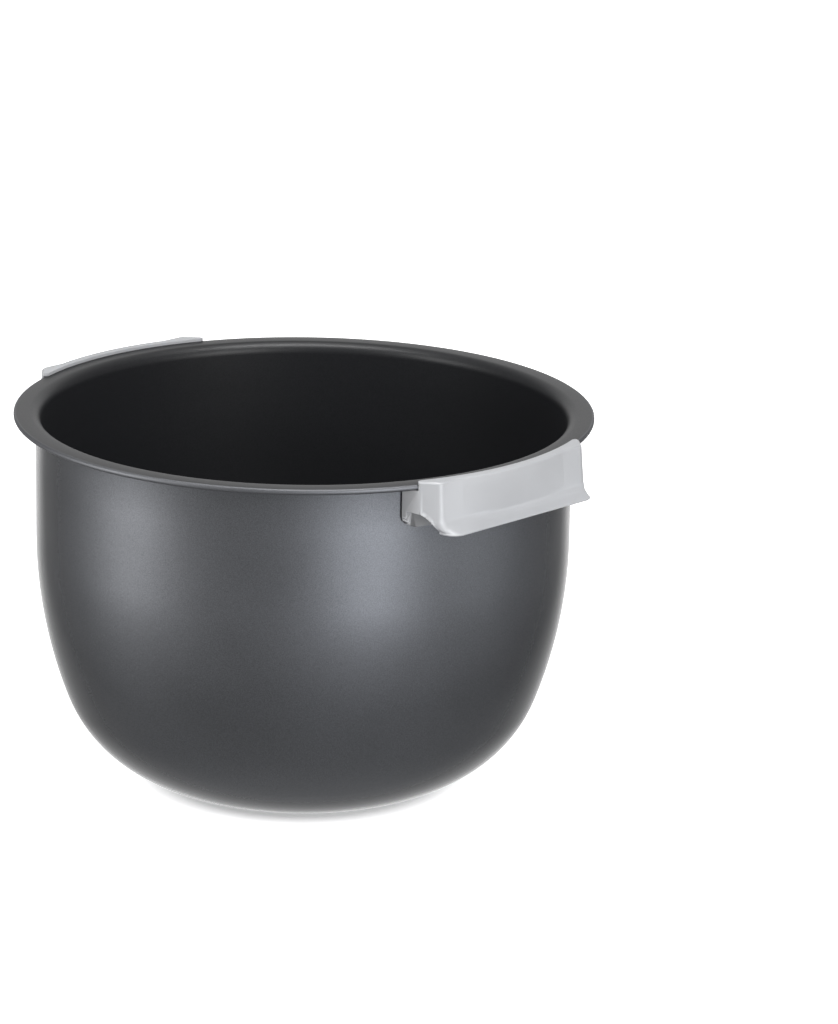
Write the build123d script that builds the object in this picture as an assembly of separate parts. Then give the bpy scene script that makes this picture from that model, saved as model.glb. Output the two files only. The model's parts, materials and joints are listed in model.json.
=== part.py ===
from build123d import *
import os
from math import radians, sin, sqrt, tan

# Inner cooking pan of a rice cooker, with a fixed plastic grip on each side.
# Millimetres, +Z up. The pan stands on z = 0 around its own axis, and +X points through the right grip.
# A drop is a distance below the flange's top face, and "in" and "out" are from the flange's edge along X.

# ---- pan
wall_radius = 115.7          # outside of the straight upper wall
flange_width = 9.3           # how far the flange stands out from the wall
pan_height = 164.3           # base to the flange's top face
wall_thickness = 2.5
side_start = 109.4           # height at which the side's arc runs into the straight wall
side_radius = 202.0          # long arc of the side
corner_radius = 60.0         # arc from the side down to the base
flange_thickness = 2.4
rim_radius = 5.0             # flange's top face into the inner wall
under_radius = 2.5           # outer wall into the flange's underside
flange_edge_radius = 1.0
base_dimple_radius = 20.0    # shallow dimple pressed up into the middle of the base
base_dimple_depth = 0.8

# ---- grip: plan outlines at three heights, each with straight ends, slanted cheeks and a curved front
end_half_width = 48.0        # middle of the grip to the plane of its ends
shoulder_in = 8.5            # where an end turns into its cheek
shoulder_radius = 3.0
top_front_in = 1.3           # the front at its two ends
top_corner = 42.0            # y at which a cheek meets the front
top_corner_radius = 4.0
foot_drop = 17.0
foot_front_out = 0.2
foot_corner = 43.0
foot_corner_radius = 4.5
lip_fall = 2.3               # from the front's foot down to the lip's edge
lip_half_width = 43.0        # the lip's ends stand out from the cheeks
lip_front_out = 6.5
lip_corner_radius = 5.8
cheek_turn = 0.7             # how far along its cheek each outline may turn towards the lip's end
knee = 30.5                  # y at which the front takes up the curve of the flange
foot_crown = 1.3             # how far the front bulges at its foot
lip_crown = 0.2
lip_edge_height = 0.9
shelf_drop = 12.3            # underside of the shelf, next to the pan
shelf_knee_in = 8.2          # where the underside starts to curve down
shelf_bend_in = 4.3          # a point halfway along that curve
shelf_bend_drop = 15.2
shelf_toe_in = 1.4           # where the curve runs into the lip's flat underside

# ---- grip: walls, slot and seats
hook_height = 1.4            # how far the grip stands above the flange
hook_overlap = 1.6           # how far the hook reaches in over the flange
hook_corner_radius = 2.0     # inner corner of the hook at each end, seen from above
seat_gap = 0.1               # between the flange's faces and the slot
slot_edge_gap = 0.5          # between the flange's edge and the bottom of the slot
front_wall = 2.1             # wall outside the slot, at the middle of the grip
top_wall = 2.0               # wall over the hollow
shell_wall = 2.2
plate_gap = 1.3              # between the pan's wall and the back of the grip
plate_thickness = 2.2
plate_drop = 19.6
plate_corner_radius = 4.5
rib_thickness = 1.6
rib_pitch = 14.0             # one rib in the middle and one this far to each side
crease_radius = 4.5          # hollow corner between the front and the lip
crease_steps = 6
lip_bevel = 0.3              # sloped edges of the lip
top_bevel = 0.6              # sloped edge around the grip's top face

# ---- bracket
strip_thickness = 1.0
weld_gap = 0.05              # between the strip and the wall it is welded to
strip_half_width = 38.0
strip_height = 8.0
tab_drop = 5.9
tab_thickness = 1.2
tab_width = 12.0
tab_corner_radius = 3.0
tab_margin = 3.2             # metal beyond a screw's axis
collar_wall = 1.2            # drawn collar that takes the thread
collar_height = 1.8

# ---- screws
screw_out = 3.1              # from the outside of the pan's wall, along X
screw_y = 28.0               # from the middle of the grip
thread_radius = 2.0
thread_gap = 0.05
screw_length = 6.0
screw_tip = 0.5
hole_gap = 0.25
head_rim = 1.5               # how far the head reaches out beyond the thread
head_height = 2.4
head_round = 0.9
head_gap = 0.4
seat_thickness = 2.5         # plastic between a screw's head and the tab
boss_wall = 1.9
recess_width = 0.9           # cross recess
recess_length = 4.0
recess_depth = 1.3

# ---- places and sizes worked out from the values above
flange_radius = wall_radius + flange_width
flange_under = pan_height - flange_thickness
slot_floor = flange_under - seat_gap
slot_roof = pan_height + seat_gap
slot_radius = flange_radius + slot_edge_gap
hook_top = pan_height + hook_height
bevel_z = hook_top - top_bevel
hook_radius = flange_radius - hook_overlap
top_middle = slot_radius + front_wall
foot_z = pan_height - foot_drop
lip_z = foot_z - lip_fall
lip_under = lip_z - lip_edge_height
shelf_z = pan_height - shelf_drop
plate_back = wall_radius + plate_gap
plate_front = plate_back + plate_thickness
plate_bottom = pan_height - plate_drop
tab_top = pan_height - tab_drop
tab_under = tab_top - tab_thickness
head_seat = tab_under - seat_thickness
screw_x = wall_radius + screw_out
head_radius = thread_radius + head_rim
recess_radius = head_radius + head_gap
boss_radius = recess_radius + boss_wall
collar_radius = thread_radius + collar_wall
strip_inner = wall_radius + weld_gap
strip_outer = strip_inner + strip_thickness
side_centre = wall_radius - side_radius
corner_centre = side_centre + sqrt((side_radius - corner_radius) ** 2 - (side_start - corner_radius) ** 2)
shelf_knee = flange_radius - shelf_knee_in
shelf_bend = flange_radius - shelf_bend_in
shelf_bend_z = pan_height - shelf_bend_drop
shelf_toe = flange_radius - shelf_toe_in
far = 2 * flange_radius
same_point = 1e-6

# levels of the grip's outline: y of the end, of the turn on the cheek and of the corner at the front,
# x of the turn and of the front, corner radius, bulge of the front's middle
shoulder = flange_radius - shoulder_in
foot_front = flange_radius + foot_front_out
top_front = flange_radius - top_front_in
lip_front = flange_radius + lip_front_out
foot_turn = shoulder + (foot_front - shoulder) * cheek_turn
foot_turn_y = end_half_width + (foot_corner - end_half_width) * cheek_turn
top_turn = shoulder + (top_front - shoulder) * cheek_turn
top_turn_y = end_half_width + (top_corner - end_half_width) * cheek_turn
lip_level = (end_half_width, lip_half_width, lip_half_width, foot_turn, lip_front, lip_corner_radius,
             lip_crown)
foot_level = (end_half_width, foot_turn_y, foot_corner, foot_turn, foot_front, foot_corner_radius,
              foot_crown)
top_level = (end_half_width, top_turn_y, top_corner, top_turn, top_front, top_corner_radius,
             top_middle - top_front)


def arc_round(centre, radius, start, end):
    """Arc about centre from the direction of start to that of end, by the short way."""
    first = (start - centre).normalized()
    last = (end - centre).normalized()
    middle = (first + last).normalized()
    return ThreePointArc(centre + first * radius, centre + middle * radius, centre + last * radius)


def pan_curve(inset):
    """Base corner, side and straight wall as edges, moved inwards by inset."""
    corner_mid = Vector(corner_centre, corner_radius)
    side_mid = Vector(side_centre, side_start)
    joint = side_mid + (corner_mid - side_mid).normalized() * side_radius
    base = Vector(corner_centre, 0)
    wall = Vector(wall_radius, side_start)
    corner = arc_round(corner_mid, corner_radius - inset, base, joint)
    side = arc_round(side_mid, side_radius - inset, joint, wall)
    return corner, side


def make_pan():
    """One pressed vessel of even thickness: dimpled base, flared side, straight wall and flange."""
    outer_corner, outer_side = pan_curve(0)
    inner_corner, inner_side = pan_curve(wall_thickness)
    inner_radius = wall_radius - wall_thickness
    edge = flange_edge_radius
    section = make_face([
        Line((0, 0), outer_corner @ 0),
        outer_corner,
        outer_side,
        Line(outer_side @ 1, (wall_radius, flange_under - under_radius)),
        TangentArc((wall_radius, flange_under - under_radius), (wall_radius + under_radius, flange_under),
                   tangent=(0, 1)),
        Line((wall_radius + under_radius, flange_under), (flange_radius - edge, flange_under)),
        TangentArc((flange_radius - edge, flange_under), (flange_radius, flange_under + edge),
                   tangent=(1, 0)),
        Line((flange_radius, flange_under + edge), (flange_radius, pan_height - edge)),
        TangentArc((flange_radius, pan_height - edge), (flange_radius - edge, pan_height), tangent=(0, 1)),
        Line((flange_radius - edge, pan_height), (inner_radius + rim_radius, pan_height)),
        TangentArc((inner_radius + rim_radius, pan_height), (inner_radius, pan_height - rim_radius),
                   tangent=(-1, 0)),
        Line((inner_radius, pan_height - rim_radius), inner_side @ 1),
        inner_side,
        inner_corner,
        Line(inner_corner @ 0, (0, wall_thickness)),
        Line((0, wall_thickness), (0, 0)),
    ])
    vessel = revolve(Plane.XZ * section, Axis.Z)
    dimple = extrude(Circle(base_dimple_radius), base_dimple_depth, taper=30)
    bulge = Pos(0, 0, wall_thickness) * dimple
    return vessel - dimple + bulge


def points_at(outline, x, y):
    """The outline's vertices at x, on both sides of the middle."""
    return [v for v in outline.vertices() if abs(v.X - x) < same_point and abs(abs(v.Y) - y) < same_point]


def grip_outline(z, level):
    """Plan outline at height z, from inside the pan out to the front, with rounded corners."""
    half_width, turn_y, corner, turn_x, front, radius, bulge = level
    half = [(0, half_width), (shoulder, half_width), (turn_x, turn_y), (front, corner), (front, knee)]
    other_half = [(x, -y) for x, y in half]
    outline = make_face([
        *Polyline(*half).edges(),
        ThreePointArc(half[-1], (front + bulge, 0), other_half[-1]),
        *Polyline(*reversed(other_half)).edges(),
        Line(other_half[0], half[0]),
    ])
    rounded = fillet(points_at(outline, shoulder, half_width), shoulder_radius)
    return Pos(0, 0, z) * fillet(points_at(rounded, front, corner), radius)


def inwards(level, wall):
    """The level's outline values moved inwards by wall."""
    half_width, turn_y, corner, turn_x, front, radius, bulge = level
    new_turn_x = turn_x - wall * cheek_turn
    return half_width - wall, turn_y - wall, corner - wall, new_turn_x, front - wall, radius, bulge


def between(low, high, share):
    """Outline values at a share of the way from one level to another."""
    return [start + (end - start) * share for start, end in zip(low, high)]


def crease_outlines():
    """Outlines up the hollow corner, from the top of the lip to the leaning front."""
    foot = Vector(foot_front, foot_z)
    along_lip = (Vector(lip_front, lip_z) - foot).normalized()
    along_front = (Vector(top_front, bevel_z) - foot).normalized()
    half_angle = radians(along_lip.get_angle(along_front)) / 2
    reach = crease_radius / tan(half_angle)
    centre = foot + (along_lip + along_front).normalized() * (crease_radius / sin(half_angle))
    curve = arc_round(centre, crease_radius, foot + along_lip * reach, foot + along_front * reach)
    outlines = []
    for step in range(crease_steps + 1):
        point = curve @ (step / crease_steps)
        if point.X > foot_front:
            level = between(foot_level, lip_level, (point.X - foot_front) / (lip_front - foot_front))
        else:
            level = between(foot_level, top_level, (foot_front - point.X) / (foot_front - top_front))
        outlines.append(grip_outline(point.Y, level))
    return outlines


def outer_form():
    """Outside of the grip: finger lip, hollow corner, leaning front and bevelled top, all as outlines."""
    return loft([
        grip_outline(lip_under, inwards(lip_level, lip_bevel)),
        grip_outline(lip_under + lip_bevel, lip_level),
        grip_outline(lip_z - lip_bevel, lip_level),
        grip_outline(lip_z, inwards(lip_level, lip_bevel)),
        *crease_outlines(),
        grip_outline(bevel_z, top_level),
        grip_outline(hook_top, inwards(top_level, top_bevel)),
    ], ruled=True)


def hollow_form():
    """Space inside the grip, one shell wall in from the outside and down to the shelf."""
    foot = grip_outline(foot_z, inwards(foot_level, shell_wall))
    top = grip_outline(bevel_z, inwards(top_level, shell_wall))
    roof = Pos(0, 0, hook_top - top_wall + far / 2) * Box(far * 2, far * 2, far)
    return loft([foot, top], ruled=True) + extrude(foot, -foot_drop) - underside(shell_wall) - roof


def underside(lift):
    """Everything below the shelf's underside, raised by lift."""
    knee_point = (shelf_knee, shelf_z + lift)
    toe_point = (shelf_toe, lip_under + lift)
    curve = ThreePointArc(knee_point, (shelf_bend, shelf_bend_z + lift), toe_point)
    rest = Polyline(toe_point, (far, lip_under + lift), (far, 0), (0, 0), (0, shelf_z + lift), knee_point)
    outline = make_face([curve, *rest.edges()])
    return extrude(Plane.XZ * outline, far, both=True)


def pan_clearance():
    """The pan, its flange and the grip's gaps around them, as one solid to cut the grip back with."""
    outline = make_face(Polyline(
        (0, 0),
        (plate_back, 0),
        (plate_back, slot_floor - under_radius),
        (wall_radius + under_radius, slot_floor),
        (slot_radius, slot_floor),
        (slot_radius, slot_roof),
        (hook_radius, slot_roof),
        (hook_radius, hook_top + hook_height),
        (0, hook_top + hook_height),
        close=True,
    ))
    return revolve(Plane.XZ * outline, Axis.Z)


def hook_corners():
    """What the rounding takes off the hook's inner corners at both ends, above the flange."""
    centre_radius = hook_radius + hook_corner_radius
    centre_y = end_half_width - hook_corner_radius
    centre = Vector(sqrt(centre_radius ** 2 - centre_y ** 2), centre_y)
    beside = Vector(centre.X, end_half_width + hook_corner_radius)
    inside = centre * ((hook_radius - hook_corner_radius) / centre_radius)
    beyond = Vector(inside.X, beside.Y)
    wedge = make_face(Polyline(centre, beside, beyond, inside, close=True))
    wedge -= Pos(centre.X, centre.Y) * Circle(hook_corner_radius)
    corner = extrude(Pos(0, 0, slot_roof) * wedge, hook_height)
    return corner + mirror(corner, Plane.XZ)


def make_plate():
    """Curved plate that hugs the pan below the flange, wider than the shelf, with rounded lower corners."""
    height = slot_floor - plate_bottom
    blank = Pos(0, 0, plate_bottom + height / 2) * Box(far, 2 * end_half_width, height)
    lower = blank.edges().filter_by(Axis.X).group_by(Axis.Z)[0]
    ring = extrude(Circle(plate_front) - Circle(plate_back), pan_height)
    front_half = Pos(far / 2, 0, 0) * Box(far, far, far * 2)
    return fillet(lower, plate_corner_radius) & ring & front_half


def screw_places():
    return [Pos(screw_x, side * screw_y, 0) for side in (-1, 1)]


def upright(radius, low, high):
    """Cylinder on the Z axis from one height to another."""
    return extrude(Pos(0, 0, low) * Circle(radius), high - low)


def make_grip():
    """Grip moulding: a shell that is open towards the pan, with ribs, screw bosses and a finger lip."""
    grip = outer_form() - underside(0) + make_plate()
    hollow = hollow_form()
    for side in (-1, 0, 1):
        hollow -= Pos(flange_radius, side * rib_pitch, pan_height / 2) * Box(far, rib_thickness, pan_height)
    for place in screw_places():
        hollow -= place * upright(boss_radius, 0, tab_under)
    grip -= hollow
    grip -= pan_clearance() + hook_corners()
    for place in screw_places():
        grip -= place * upright(thread_radius + hole_gap, 0, pan_height)
        grip -= place * upright(recess_radius, 0, head_seat)
    return grip


def make_bracket():
    """Stainless strip on the pan's wall, with two tabs bent out, each with a tapped collar."""
    strip_bottom = tab_top - strip_height
    ring = Circle(strip_outer) - Circle(strip_inner)
    strip = extrude(Pos(0, 0, strip_bottom) * ring, strip_height)
    strip &= Pos(far / 2, 0, 0) * Box(far, 2 * strip_half_width, far * 2)
    tab_end = screw_x + tab_margin
    bracket = strip
    for side in (-1, 1):
        tab = Box(tab_end, tab_width, tab_thickness)
        tab = Pos(tab_end / 2, side * screw_y, tab_top - tab_thickness / 2) * tab
        outer = tab.edges().filter_by(Axis.Z).group_by(Axis.X)[-1]
        tab = fillet(outer, tab_corner_radius)
        bracket += tab - upright(strip_inner, 0, pan_height)
    for place in screw_places():
        bracket += place * upright(collar_radius, tab_top, tab_top + collar_height)
    for place in screw_places():
        bracket -= place * upright(thread_radius + thread_gap, 0, pan_height)
    return bracket


def make_screw():
    """Pan-head screw with a cross recess, head down, its seat at z = 0."""
    shank = upright(thread_radius, 0, screw_length)
    shank = chamfer(shank.edges().sort_by(Axis.Z)[-1], screw_tip)
    head = upright(head_radius, -head_height, 0)
    head = fillet(head.edges().sort_by(Axis.Z)[0], head_round)
    cross = Box(recess_length, recess_width, recess_depth) + Box(recess_width, recess_length, recess_depth)
    return shank + head - Pos(0, 0, recess_depth / 2 - head_height) * cross


def write(name, shape):
    shape.label = name
    export_step(shape, f"parts/{name}.step")


os.makedirs("parts", exist_ok=True)
write("pan_body", make_pan())
grip = make_grip()
bracket = make_bracket()
screw = make_screw()
for side, turn in (("right", 0), ("left", 180)):
    around = Rot(0, 0, turn)
    write(f"{side}_grip", around * grip)
    write(f"{side}_bracket", around * bracket)
    for end, place in zip(("front", "rear"), screw_places()):
        write(f"{side}_screw_{end}", around * place * Pos(0, 0, head_seat) * screw)
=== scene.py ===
# %% [markdown]
# # The inner pan of a rice cooker
#
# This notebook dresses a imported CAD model: a deep, round pan that lifts out of a rice cooker by two plastic
# grips. The CAD model is the frame that everything hangs on. It has the right sizes, but its round walls are
# made of flat facets and its edges are sharp. So the surfaces that show are modelled again here, to the same
# sizes, with rounded edges and real finishes.
#
# The first cell loads the frame. Everything is in metres, +Z is up, and the right grip points along +X.

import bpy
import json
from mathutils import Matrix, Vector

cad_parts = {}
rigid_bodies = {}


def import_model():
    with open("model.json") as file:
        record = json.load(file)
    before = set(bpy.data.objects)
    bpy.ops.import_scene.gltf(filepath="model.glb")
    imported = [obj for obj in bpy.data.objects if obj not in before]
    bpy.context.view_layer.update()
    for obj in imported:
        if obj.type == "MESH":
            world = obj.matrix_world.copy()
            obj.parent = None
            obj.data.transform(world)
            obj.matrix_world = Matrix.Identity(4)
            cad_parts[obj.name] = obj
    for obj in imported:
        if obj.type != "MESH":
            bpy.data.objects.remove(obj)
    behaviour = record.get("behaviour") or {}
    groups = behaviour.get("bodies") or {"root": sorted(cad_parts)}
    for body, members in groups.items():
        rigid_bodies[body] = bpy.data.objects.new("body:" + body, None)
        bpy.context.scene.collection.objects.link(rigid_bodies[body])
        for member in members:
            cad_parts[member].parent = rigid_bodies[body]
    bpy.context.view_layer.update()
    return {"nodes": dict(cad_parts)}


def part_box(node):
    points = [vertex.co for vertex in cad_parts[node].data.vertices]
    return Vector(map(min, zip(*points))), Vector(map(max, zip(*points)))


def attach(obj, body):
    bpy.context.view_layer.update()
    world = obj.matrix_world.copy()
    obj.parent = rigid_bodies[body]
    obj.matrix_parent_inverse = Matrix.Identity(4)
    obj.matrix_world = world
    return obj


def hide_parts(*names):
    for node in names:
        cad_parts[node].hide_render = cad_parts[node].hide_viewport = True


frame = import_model()
print("nodes:", sorted(frame["nodes"]))

# %% [markdown]
# ## Helpers
#
# Blender's operators act on whatever is selected, as if a hand worked the mouse. The CAD nodes are selected
# when they arrive, so one helper clears the selection before it selects a piece. The other prints what a
# piece is made of, which is read after each step. Vertices that are nearer to each other than the merge
# distance are meant to be one.

# %% Helpers
import json
from math import asin, cos, degrees, pi, radians, sin, sqrt

import bpy
from mathutils import Vector

MM = 0.001
MERGE_DISTANCE = 0.01 * MM


def select_only(thing):
    """Selects one object alone and makes it the active one."""
    bpy.ops.object.select_all(action="DESELECT")
    thing.select_set(True)
    bpy.context.view_layer.objects.active = thing


def describe(piece):
    """Prints a piece's name and the size of its mesh."""
    print(piece.name, len(piece.data.vertices), "vertices,", len(piece.data.polygons), "faces")


print("merge distance:", MERGE_DISTANCE)

# %% [markdown]
# ## The pan's shape
#
# A pan like this is pressed from one round sheet: a flat base, a large corner, a long curved side, a short
# straight wall and a flange that rolls outwards. Any round vessel is easiest to make as a lathe would: draw
# half of its section once, then spin it round the axis. The section is a chain of straight runs and arcs.
#
# The high corner of the pan's CAD box gives the flange's radius and the pan's height. The other sizes are the
# same numbers as in the CAD model.

# %% Sizes of the pan
pan_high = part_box("pan_body")[1]
flange_radius = pan_high.x
pan_height = pan_high.z
flange_width = 9.3 * MM
flange_thickness = 2.4 * MM
sheet = 2.5 * MM
side_start = 109.4 * MM
side_radius = 202 * MM
corner_radius = 60 * MM
rim_radius = 5 * MM
under_radius = 2.5 * MM
edge_radius = 1 * MM
dimple_radius = 20 * MM
dimple_depth = 0.8 * MM
dimple_slope = 2 * MM
wall_radius = flange_radius - flange_width
inner_radius = wall_radius - sheet
flange_under = pan_height - flange_thickness
print("flange", round(flange_radius, 4), "height", round(pan_height, 4), "wall", round(wall_radius, 4))

# %% [markdown]
# Two arcs make the side, a long one above and the corner below it. Where they meet, they share a tangent, so
# the joint lies on the line through both centres. That places the corner's centre too.

# %% Arcs of the side
def arc(centre, radius, start, end, steps):
    """Points along an arc in the XZ plane, from one angle to another, in degrees."""
    angles = [radians(start + (end - start) * step / steps) for step in range(steps + 1)]
    return [(centre[0] + radius * cos(angle), centre[1] + radius * sin(angle)) for angle in angles]


side_centre = wall_radius - side_radius
corner_centre = side_centre + sqrt((side_radius - corner_radius) ** 2 - (side_start - corner_radius) ** 2)
joint_angle = degrees(asin((corner_radius - side_start) / (side_radius - corner_radius)))
side_middle = (side_centre, side_start)
corner_middle = (corner_centre, corner_radius)
print("the arcs meet at", round(joint_angle, 2), "degrees")

# %% [markdown]
# The outside is drawn from the middle of the base outwards and up, and the inside from the rim down to the
# middle again. The base has a shallow dimple, and its inner face is its outer face, one sheet higher. An
# extra ring beside the dimple and two on the straight wall keep the smooth shading even.

# %% Section of the pan
dimple_ring = dimple_radius + 1 * MM
base_middle = (dimple_radius + corner_centre) / 2
wall_step = 17 * MM
wall_rings = [side_start + wall_step, side_start + 2 * wall_step]

base = [(0, dimple_depth), (dimple_radius - dimple_slope, dimple_depth), (dimple_radius, 0),
        (dimple_ring, 0), (base_middle, 0)]
outside = base + arc(corner_middle, corner_radius, -90, joint_angle, steps=20)
outside += arc(side_middle, side_radius, joint_angle, 0, steps=12)[1:]
outside += [(wall_radius, height) for height in wall_rings]
outside += arc((wall_radius + under_radius, flange_under - under_radius), under_radius, 180, 90, steps=6)
outside += arc((flange_radius - edge_radius, flange_under + edge_radius), edge_radius, -90, 0, steps=5)
outside += arc((flange_radius - edge_radius, pan_height - edge_radius), edge_radius, 0, 90, steps=5)

inside = arc((inner_radius + rim_radius, pan_height - rim_radius), rim_radius, 90, 180, steps=10)
inside += [(inner_radius, height) for height in reversed(wall_rings)]
inside += arc(side_middle, side_radius - sheet, 0, joint_angle, steps=12)
inside += arc(corner_middle, corner_radius - sheet, joint_angle, -90, steps=20)[1:]
inside += [(x, z + sheet) for x, z in reversed(base)]
section = outside + inside
print("section points:", len(section))

# %% [markdown]
# A plane is the primitive to start from: merged to one vertex, it is the point of a pencil. Extruding that
# vertex draws the section run by run, and the spin operator turns the section into the pan. The last copy of
# the section falls on the first, so doubles are merged, which also closes both poles.

# %% Spin the pan
STEPS_ROUND = 288

bpy.ops.object.select_all(action="DESELECT")
bpy.ops.mesh.primitive_plane_add(size=10 * MM, location=(0, 0, section[0][1]))
pan = bpy.context.object
pan.name = "pan"
bpy.ops.object.transform_apply(location=True)
bpy.ops.object.mode_set(mode="EDIT")
bpy.ops.mesh.merge(type="CENTER")
for (x, z), (next_x, next_z) in zip(section, section[1:]):
    run = (next_x - x, 0, next_z - z)
    bpy.ops.mesh.extrude_region_move(TRANSFORM_OT_translate={"value": run})
bpy.ops.mesh.select_all(action="SELECT")
bpy.ops.mesh.spin(steps=STEPS_ROUND, angle=2 * pi, center=(0, 0, 0), axis=(0, 0, 1))
bpy.ops.mesh.select_all(action="SELECT")
bpy.ops.mesh.remove_doubles(threshold=MERGE_DISTANCE)
bpy.ops.mesh.normals_make_consistent(inside=False)
bpy.ops.object.mode_set(mode="OBJECT")
describe(pan)

# %% [markdown]
# ## Tools for the finishes
#
# A real finish is never one flat value. Each one here starts from noise at the real scale of its grain, and
# the noise moves its colour, its roughness and its surface a little. All noise is read on the piece's own
# coordinates, so the grain has the same size everywhere and stays with the piece when it moves.

# %% Materials and noise
def new_material(name):
    """A material with an empty shader: returns it, its nodes, its links and its Principled shader."""
    material = bpy.data.materials.new(name)
    material.use_nodes = True
    tree = material.node_tree
    return material, tree.nodes, tree.links, tree.nodes["Principled BSDF"]


def noise(nodes, links, scale, detail, stretch=(1, 1, 1)):
    """Noise on the piece's own coordinates, in features per metre. Stretch multiplies that on each axis."""
    place = nodes.new("ShaderNodeTexCoord")
    stretched = nodes.new("ShaderNodeMapping")
    stretched.inputs["Scale"].default_value = stretch
    texture = nodes.new("ShaderNodeTexNoise")
    texture.inputs["Scale"].default_value = scale
    texture.inputs["Detail"].default_value = detail
    links.new(place.outputs["Object"], stretched.inputs["Vector"])
    links.new(stretched.outputs["Vector"], texture.inputs["Vector"])
    return texture.outputs["Fac"]


def spread(nodes, links, value, low, high, start=0.3, end=0.7):
    """Takes a value from the range start to end, which is noise's usual one, to the range low to high."""
    node = nodes.new("ShaderNodeMapRange")
    node.inputs["From Min"].default_value = start
    node.inputs["From Max"].default_value = end
    node.inputs["To Min"].default_value = low
    node.inputs["To Max"].default_value = high
    links.new(value, node.inputs["Value"])
    return node.outputs["Result"]


print("noise is spread from 0.3 and 0.7 to the values of each finish")

# %% [markdown]
# Three small functions pass a noise on to the shader. The colour runs from a dark to a pale value and the
# roughness from a low to a high one. The bump is a height in metres: it changes how the surface catches the
# light, and leaves the mesh as it is.

# %% Colour, roughness and bump
def colour_by(nodes, links, shader, value, dark, pale):
    """Colours the surface from dark to pale as the noise rises."""
    node = nodes.new("ShaderNodeMix")
    node.data_type = "RGBA"
    node.inputs["A"].default_value = (*dark, 1)
    node.inputs["B"].default_value = (*pale, 1)
    links.new(spread(nodes, links, value, 0, 1), node.inputs["Factor"])
    links.new(node.outputs["Result"], shader.inputs["Base Color"])


def roughen_by(nodes, links, shader, value, low, high):
    """Sets the roughness from low to high as the noise rises."""
    links.new(spread(nodes, links, value, low, high), shader.inputs["Roughness"])


def bump_by(nodes, links, shader, value, strength, height):
    """Tilts the surface's normals as if the noise raised it by up to a height."""
    node = nodes.new("ShaderNodeBump")
    node.inputs["Strength"].default_value = strength
    node.inputs["Distance"].default_value = height
    links.new(value, node.inputs["Height"])
    links.new(node.outputs["Normal"], shader.inputs["Normal"])


print("a noise can drive colour, roughness and bump")

# %% [markdown]
# ## Coats of the pan
#
# Outside, the pan has a sprayed dark grey coat with fine metal flakes in it, under a thin clear layer. The
# flakes are about 0.4 mm across, so they are read as a sparkle and not as a pattern. A much wider noise makes
# some places a little duller than others, as on any sprayed part.
#
# The flakes lie at all angles, so the coat hardly turns brighter where it is seen edge-on: the dark specular
# tint sees to that. What does shine there is the clear layer, which draws a thin bright line along the
# outline.

# %% Flake coat for the outside
flake_coat, nodes, links, shader = new_material("flake_coat")
flakes = noise(nodes, links, scale=2600, detail=1)
cloud = noise(nodes, links, scale=22, detail=3)
colour_by(nodes, links, shader, flakes, dark=(0.078, 0.0804, 0.0862), pale=(0.111, 0.1142, 0.1225))
roughen_by(nodes, links, shader, cloud, low=0.42, high=0.48)
bump_by(nodes, links, shader, flakes, strength=0.12, height=0.05 * MM)
shader.inputs["Metallic"].default_value = 0.85
shader.inputs["Specular Tint"].default_value = (0.05, 0.05, 0.05, 1)
shader.inputs["Coat Weight"].default_value = 1.0
shader.inputs["Coat Roughness"].default_value = 0.10
shader.inputs["Coat IOR"].default_value = 1.22
print("made", flake_coat.name)

# %% [markdown]
# Inside, the pan has a black non-stick coat: a soft polymer film with a low sheen. It isn't a metal, and it
# reflects less than most plastics, so its specular level is about half of the usual one.

# %% Non-stick coat for the inside
non_stick, nodes, links, shader = new_material("non_stick_coat")
grain = noise(nodes, links, scale=1900, detail=2)
colour_by(nodes, links, shader, grain, dark=(0.0115, 0.0119, 0.0134), pale=(0.0168, 0.0174, 0.0195))
roughen_by(nodes, links, shader, grain, low=0.37, high=0.45)
bump_by(nodes, links, shader, grain, strength=0.10, height=0.04 * MM)
shader.inputs["Specular IOR Level"].default_value = 0.26
print("made", non_stick.name)

# %% [markdown]
# The two coats meet at the outer edge of the flange, where the sprayed coat is rubbed dull. It has the same
# flakes there, but it is rougher and has no clear layer.

# %% Rubbed coat for the edge of the flange
flange_edge, nodes, links, shader = new_material("flange_edge")
flakes = noise(nodes, links, scale=2600, detail=1)
colour_by(nodes, links, shader, flakes, dark=(0.080, 0.082, 0.088), pale=(0.104, 0.106, 0.113))
roughen_by(nodes, links, shader, flakes, low=0.50, high=0.57)
bump_by(nodes, links, shader, flakes, strength=0.10, height=0.05 * MM)
shader.inputs["Metallic"].default_value = 0.7
print("made", flange_edge.name)

# %% [markdown]
# Each face of the pan gets its coat by its place and by the way it looks. The rounded edge of the flange is
# told by its distance from the axis. Of the rest, what lies above that edge's lower rounding is the cooking
# side. Further down, a face is on the cooking side if it looks at the axis or straight up.

# %% Coat each face
SPRAYED, COOKING, RUBBED = range(3)
UPWARDS = 0.5
INWARDS = -1e-6


def coat_of(face):
    """Which of the pan's three coats a face has."""
    middle = face.center
    from_axis = sqrt(middle.x ** 2 + middle.y ** 2)
    if middle.z > flange_under and from_axis > flange_radius - edge_radius:
        return RUBBED
    if middle.z > flange_under + edge_radius:
        return COOKING
    outwards = face.normal.x * middle.x + face.normal.y * middle.y
    return COOKING if outwards < INWARDS or face.normal.z > UPWARDS else SPRAYED


for coat in (flake_coat, non_stick, flange_edge):
    pan.data.materials.append(coat)
for face in pan.data.polygons:
    face.material_index = coat_of(face)
select_only(pan)
bpy.ops.object.shade_smooth()
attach(pan, "root")
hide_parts("pan_body")
print("faces with each coat:", [sum(face.material_index == coat for face in pan.data.polygons)
                                for coat in (SPRAYED, COOKING, RUBBED)])

# %% [markdown]
# ## Grips
#
# The grips are moulded from a light grey, heat-resistant plastic. It is coloured all through and slightly
# cloudy, and the mould leaves a fine, dull texture on it.

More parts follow.
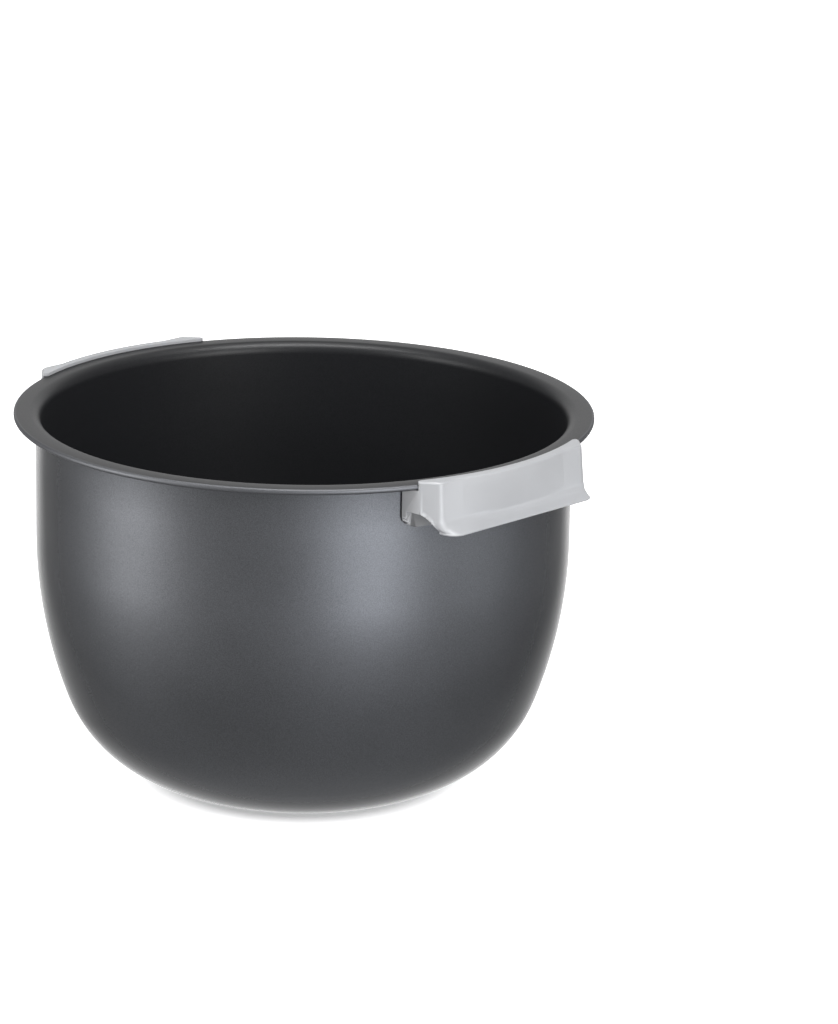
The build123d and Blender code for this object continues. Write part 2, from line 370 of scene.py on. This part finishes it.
# %% Light grey plastic
grip_plastic, nodes, links, shader = new_material("grip_plastic")
cloud = noise(nodes, links, scale=35, detail=3)
grain = noise(nodes, links, scale=2200, detail=2)
colour_by(nodes, links, shader, cloud, dark=(0.452, 0.461, 0.480), pale=(0.492, 0.501, 0.520))
roughen_by(nodes, links, shader, grain, low=0.42, high=0.50)
bump_by(nodes, links, shader, grain, strength=0.08, height=0.04 * MM)
print("made", grip_plastic.name)

# %% [markdown]
# The CAD grips have the right shape, but their edges are sharp. A moulded grip has small radii, which draw a
# thin bright line along each edge. So each grip is copied, its loose triangles are joined, flat faces are
# merged back into one, and the sharp edges that can be seen from outside are bevelled.
#
# An operator finds the sharp edges. This helper then drops those that lie inside a grip. What it keeps is
# beside the flange or beyond it, or above the pan.

# %% Tell outer edges from hidden ones
beside_flange = flange_radius - 2 * MM


def keep_outer_edges(grip, side):
    """Deselects the edges that are hidden inside a grip. Side is 1 for the right grip and -1 for the left."""
    bpy.ops.object.mode_set(mode="OBJECT")
    kept = 0
    for edge in grip.data.edges:
        ends = [grip.data.vertices[index].co for index in edge.vertices]
        outer = all(end.x * side > beside_flange or end.z > pan_height for end in ends)
        edge.select = edge.select and outer
        kept += edge.select
    bpy.ops.object.mode_set(mode="EDIT")
    return kept


print("outer edges lie beyond", round(beside_flange, 4), "or above", round(pan_height, 4))

# %% [markdown]
# The radius is 0.4 mm, and three segments are enough for one so small. Faces that lie within one degree of
# each other are one flat face, and an edge counts as sharp from 28 degrees.

# %% Round the edges of a copy
EDGE_RADIUS = 0.4 * MM
EDGE_SEGMENTS = 3
FLAT_WITHIN = radians(1)
SHARP_FROM = radians(28)


def round_edges(grip, side):
    """Makes a clean mesh of a grip's loose triangles and rounds its outer edges. Returns their number."""
    bpy.ops.object.mode_set(mode="EDIT")
    bpy.ops.mesh.select_mode(type="EDGE")
    bpy.ops.mesh.select_all(action="SELECT")
    bpy.ops.mesh.remove_doubles(threshold=MERGE_DISTANCE)
    bpy.ops.mesh.normals_make_consistent(inside=False)
    bpy.ops.mesh.dissolve_limited(angle_limit=FLAT_WITHIN)
    bpy.ops.mesh.select_all(action="DESELECT")
    bpy.ops.mesh.edges_select_sharp(sharpness=SHARP_FROM)
    rounded = keep_outer_edges(grip, side)
    bpy.ops.mesh.bevel(offset=EDGE_RADIUS, segments=EDGE_SEGMENTS, affect="EDGES", clamp_overlap=True)
    bpy.ops.mesh.select_all(action="SELECT")
    bpy.ops.mesh.normals_make_consistent(inside=False)
    bpy.ops.object.mode_set(mode="OBJECT")
    return rounded


print("edge radius:", EDGE_RADIUS)

# %% [markdown]
# Both grips are made in one loop. The copy leaves its CAD parent and keeps its place. Faces that meet at less
# than 25 degrees are shaded as one smooth surface, and the rest keep their crease.

# %% Grips with rounded edges
SMOOTH_WITHIN = radians(25)

for name, side in (("right_grip", 1), ("left_grip", -1)):
    select_only(frame["nodes"][name])
    bpy.ops.object.duplicate()
    grip = bpy.context.object
    grip.name = name + "_moulding"
    bpy.ops.object.parent_clear(type="CLEAR_KEEP_TRANSFORM")
    bpy.ops.object.transform_apply(location=True, rotation=True, scale=True)
    rounded = round_edges(grip, side)
    grip.data.materials.clear()
    grip.data.materials.append(grip_plastic)
    bpy.ops.object.shade_smooth_by_angle(angle=SMOOTH_WITHIN)
    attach(grip, "root")
    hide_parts(name)
    describe(grip)
    print("edges rounded:", rounded)

# %% [markdown]
# ## Brackets and screws
#
# A grip is held by two screws, driven from below into a bent strip of stainless steel. They keep their CAD
# shapes, because those are already right, and get a finish. The strip was rolled, which leaves fine lines
# along its length: they are noise as before, drawn out along Y. The screws were pressed in a die, and are
# brighter and slightly mottled.

# %% Stainless steel
strip_steel, nodes, links, shader = new_material("stainless_strip")
lines = noise(nodes, links, scale=3000, detail=3, stretch=(1, 0.03, 1))
colour_by(nodes, links, shader, lines, dark=(0.54, 0.53, 0.51), pale=(0.62, 0.61, 0.59))
roughen_by(nodes, links, shader, lines, low=0.28, high=0.42)
bump_by(nodes, links, shader, lines, strength=0.15, height=0.02 * MM)
shader.inputs["Metallic"].default_value = 1.0

screw_steel, nodes, links, shader = new_material("screw_steel")
mottle = noise(nodes, links, scale=1500, detail=2)
colour_by(nodes, links, shader, mottle, dark=(0.61, 0.60, 0.58), pale=(0.70, 0.69, 0.67))
roughen_by(nodes, links, shader, mottle, low=0.18, high=0.30)
bump_by(nodes, links, shader, mottle, strength=0.10, height=0.02 * MM)
shader.inputs["Metallic"].default_value = 1.0

for name, node in frame["nodes"].items():
    if "bracket" in name or "screw" in name:
        node.data.materials.clear()
        node.data.materials.append(strip_steel if "bracket" in name else screw_steel)
print("made", strip_steel.name, "and", screw_steel.name)

# %% [markdown]
# ## Stage
#
# The pan stands on a plain white table, which has to come out white without more light on the pan. That can
# be done because a shader knows what kind of ray looks at it. To light that bounces, the table is grey, and
# darker near the pan: that darker grey is painted shade, which the pan's lower side mirrors. To the camera it
# is paler, and it glows as well.
#
# Its grey and its glow depend on the place, counted from the pan's axis in the direction of view. These two
# helpers do sums on node values and give that place.

# %% Place on the table
VIEW_AZIMUTH = 45.7


def maths(nodes, links, operation, *values):
    """One Math node. A value is a number or the output of a node."""
    node = nodes.new("ShaderNodeMath")
    node.operation = operation
    for socket, value in zip(node.inputs, values):
        if isinstance(value, (int, float)):
            socket.default_value = value
        else:
            links.new(value, socket)
    return node.outputs[0]


def floor_place(nodes, links):
    """Metres to the side of the line of view, metres beyond the pan's axis, and metres from that axis."""
    place = nodes.new("ShaderNodeTexCoord")
    turned = nodes.new("ShaderNodeMapping")
    turned.vector_type = "TEXTURE"
    turned.inputs["Rotation"].default_value = (0, 0, radians(VIEW_AZIMUTH))
    parts = nodes.new("ShaderNodeSeparateXYZ")
    away = nodes.new("ShaderNodeVectorMath")
    away.operation = "LENGTH"
    links.new(place.outputs["Object"], turned.inputs["Vector"])
    links.new(turned.outputs[0], parts.inputs[0])
    links.new(place.outputs["Object"], away.inputs[0])
    return maths(nodes, links, "ABSOLUTE", parts.outputs["X"]), parts.outputs["Y"], away.outputs["Value"]


print("the camera stands at azimuth", VIEW_AZIMUTH)

# %% [markdown]
# The table is a matt plane without shine. Its grey rises with the distance from the pan: the darker grey near
# the pan is painted shade. The camera sees one even, paler grey instead.

# %% Table
NEAR_PAINTED_SHADE_GREY, FAR_GREY, SEEN_GREY = 0.34, 0.50, 0.78

bpy.ops.object.select_all(action="DESELECT")
bpy.ops.mesh.primitive_plane_add(size=14, location=(0, 0, 0))
floor = bpy.context.object
floor.name = "floor"
floor_white, nodes, links, shader = new_material("floor_white")
seen_by = nodes.new("ShaderNodeLightPath")
across, beyond, away = floor_place(nodes, links)
# painted shade: to light that bounces, the table's grey is darker near the pan
grey = spread(nodes, links, away, NEAR_PAINTED_SHADE_GREY, FAR_GREY, start=0.10, end=0.45)
lift = maths(nodes, links, "SUBTRACT", SEEN_GREY, grey)
shown_grey = maths(nodes, links, "MULTIPLY_ADD", lift, seen_by.outputs["Is Camera Ray"], grey)
links.new(shown_grey, shader.inputs["Base Color"])
shader.inputs["Roughness"].default_value = 0.9
shader.inputs["Specular IOR Level"].default_value = 0.0
floor.data.materials.append(floor_white)
print("made", floor.name)

# %% [markdown]
# In reflections the table glows in two places. One is a fan that starts beside the pan and widens behind it:
# it is the pale background that draws the thin bright line along the pan's sides. The other is a small patch
# under the pan, which does the same for its base. The edges of both are soft.
#
# To the camera the table glows everywhere but under the pan, where the glow falls off. That leaves a dark
# ring round the base. Part of it is the real shadow, which the glow no longer hides, and part is painted
# shadow, drawn by the falloff of the glow.

# %% Glow of the table
FAN_WIDENING = 0.5
FAN_GLOW, UNDER_GLOW = 0.62, 0.4
PAINTED_SHADOW_GLOW, OPEN_GLOW = 0.36, 1.0

fan = maths(nodes, links, "MULTIPLY_ADD", beyond, -FAN_WIDENING, across)
in_fan = spread(nodes, links, fan, 1, 0, start=0.08, end=0.19)
behind = spread(nodes, links, beyond, 0, 1, start=-0.16, end=-0.05)
fan_behind = maths(nodes, links, "MULTIPLY", in_fan, behind)
under = spread(nodes, links, away, UNDER_GLOW, 0, start=0.07, end=0.12)
reflected = maths(nodes, links, "MULTIPLY_ADD", fan_behind, FAN_GLOW, under)
in_reflections = maths(nodes, links, "MULTIPLY", reflected, seen_by.outputs["Is Glossy Ray"])
# painted shadow: to the camera the glow falls off in a tight ring round the base
seen_glow_with_painted_shadow = spread(nodes, links, away, PAINTED_SHADOW_GLOW, OPEN_GLOW, start=0.062, end=0.075)
strength = maths(nodes, links, "MULTIPLY_ADD", seen_glow_with_painted_shadow, seen_by.outputs["Is Camera Ray"], in_reflections)
glow = nodes.new("ShaderNodeEmission")
both = nodes.new("ShaderNodeAddShader")
links.new(strength, glow.inputs["Strength"])
links.new(shader.outputs[0], both.inputs[0])
links.new(glow.outputs[0], both.inputs[1])
links.new(both.outputs[0], nodes["Material Output"].inputs["Surface"])
print("to the camera the table glows from", PAINTED_SHADOW_GLOW, "to", OPEN_GLOW)

# %% [markdown]
# ## Light
#
# A pale room gives the plain level. It is white to the camera, dim to light that bounces, and a little less
# dim in reflections, where the coats need something to mirror.

# %% Room
ROOM_LEVEL, ROOM_WHITE = 0.25, 1.0
MIRRORED_SHARE = 0.12

world = bpy.data.worlds.new("studio")
bpy.context.scene.world = world
world.use_nodes = True
nodes, links = world.node_tree.nodes, world.node_tree.links
room = nodes["Background"]
room.inputs["Color"].default_value = (1, 1, 1, 1)
seen_by = nodes.new("ShaderNodeLightPath")
glossy_ray, camera_ray = seen_by.outputs["Is Glossy Ray"], seen_by.outputs["Is Camera Ray"]
share = maths(nodes, links, "MULTIPLY_ADD", glossy_ray, MIRRORED_SHARE, camera_ray)
links.new(spread(nodes, links, share, ROOM_LEVEL, ROOM_WHITE, start=0, end=1), room.inputs["Strength"])
print("room level:", ROOM_LEVEL)

# %% [markdown]
# Every lamp is a rectangle that faces the middle of the pan, and all stand at the same distance. An azimuth
# is counted from the camera's, and is positive to the right.

# %% A soft box
LAMP_DISTANCE = 2.2


def soft_box(name, azimuth, elevation, width, height, power):
    """A rectangular lamp that faces the pan. Angles are in degrees, sizes in metres, the power in watts."""
    around = radians(VIEW_AZIMUTH + azimuth)
    up = radians(elevation)
    direction = Vector((sin(around) * cos(up), -cos(around) * cos(up), sin(up)))
    data = bpy.data.lights.new(name, "AREA")
    data.shape = "RECTANGLE"
    data.size = width
    data.size_y = height
    data.energy = power
    lamp = bpy.data.objects.new(name, data)
    bpy.context.scene.collection.objects.link(lamp)
    lamp.location = Vector((0, 0, pan_height / 2)) + direction * LAMP_DISTANCE
    lamp.rotation_euler = (-direction).to_track_quat("-Z", "Y").to_euler()
    return lamp


print("lamps stand", LAMP_DISTANCE, "m from the pan")

# %% [markdown]
# Four boxes light all surfaces: one to each side of the camera, and two high ones that open up the flange and
# the inside.
#
# The rest are seen in reflections alone, so they shape the highlights and leave the plain level as it is. The
# right and the left strip make the two upright highlights on the side, and the side strip fills in towards
# the right edge. A wide panel behind the pan, which the camera doesn't see, brightens the outline. The strip
# overhead draws the line on the inner rounding of the far rim. The two strips on the right are a little cool,
# like light from a window.

# %% Lamps
COOL = (0.93, 0.955, 1.0)

soft_box("right_box", azimuth=36, elevation=24, width=1.0, height=1.2, power=30)
soft_box("left_box", azimuth=-66, elevation=30, width=0.8, height=1.2, power=21)
soft_box("top_box", azimuth=40, elevation=72, width=0.9, height=0.9, power=11)
soft_box("rear_box", azimuth=172, elevation=72, width=0.9, height=0.9, power=6)

right_strip = soft_box("right_strip", azimuth=27.5, elevation=0, width=0.75, height=0.14, power=43)
side_strip = soft_box("side_strip", azimuth=76, elevation=0, width=0.60, height=0.14, power=11)
left_strip = soft_box("left_strip", azimuth=-72.5, elevation=0, width=0.50, height=0.14, power=38)
back_panel = soft_box("back_panel", azimuth=180, elevation=14, width=2.4, height=1.8, power=9.5)
rear_strip = soft_box("rear_strip", azimuth=180, elevation=95, width=1.8, height=0.4, power=52)
for lamp in (right_strip, side_strip, left_strip, back_panel, rear_strip):
    lamp.visible_diffuse = False
for lamp in (right_strip, side_strip):
    lamp.data.color = COOL
back_panel.visible_camera = False

# %% [markdown]
# ## Camera
#
# A long lens from a little above shows the pan's whole height and a good part of its inside, with the right
# grip in front. It keeps the side's curve true, where a short lens would swell it. The camera is rolled by
# about a degree.

# %% Camera
camera_data = bpy.data.cameras.new("camera")
camera_data.lens = 158.9
camera = bpy.data.objects.new("camera", camera_data)
bpy.context.scene.collection.objects.link(camera)
camera.location = (1.3459, -1.3134, 0.6785)
camera.rotation_euler = (radians(73.415), radians(-0.940), radians(44.453))
bpy.context.scene.camera = camera
bpy.context.scene.view_settings.view_transform = "Standard"
print("camera at", tuple(round(value, 3) for value in camera.location))
